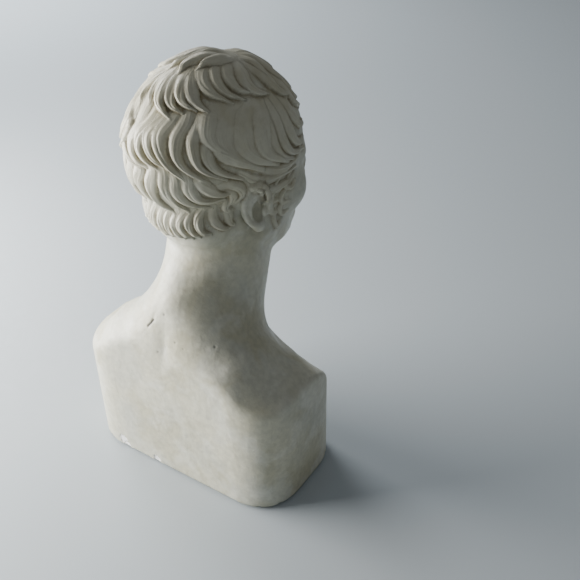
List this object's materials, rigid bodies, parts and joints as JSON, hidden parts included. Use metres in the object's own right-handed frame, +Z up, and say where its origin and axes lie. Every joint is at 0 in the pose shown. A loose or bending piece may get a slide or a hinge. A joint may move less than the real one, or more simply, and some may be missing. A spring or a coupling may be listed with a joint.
{
  "type": "marble bust",
  "caption": "Head-and-shoulders portrait bust with wavy hair, head turned to its right, arms cut off flat, standing on felt.",
  "frame": {"origin": "middle of the trunk's outline on the underside of the felt, where the bust stands", "axes": "+Z up, the chest faces -Y, the figure's right shoulder is at -X and its left shoulder at +X"},
  "size_m": [0.202, 0.1587, 0.349],
  "materials": {
    "marble": "honed, ivory over chalk white, faint grey clouds",
    "plaster": "matte, rough cast",
    "felt": "matte wool felt",
    "steel": "zinc plated"
  },
  "bodies": {
    "root": {"bust_casting": "marble", "base_plate": "plaster", "felt_sheet": "felt", "neck_rod": "steel", "rod_washer": "steel", "rod_nut": "steel", "crossbar": "steel", "crossbar_bedding_right": "plaster", "crossbar_bedding_left": "plaster", "head_bedding": "plaster"}
  },
  "joints": []
}
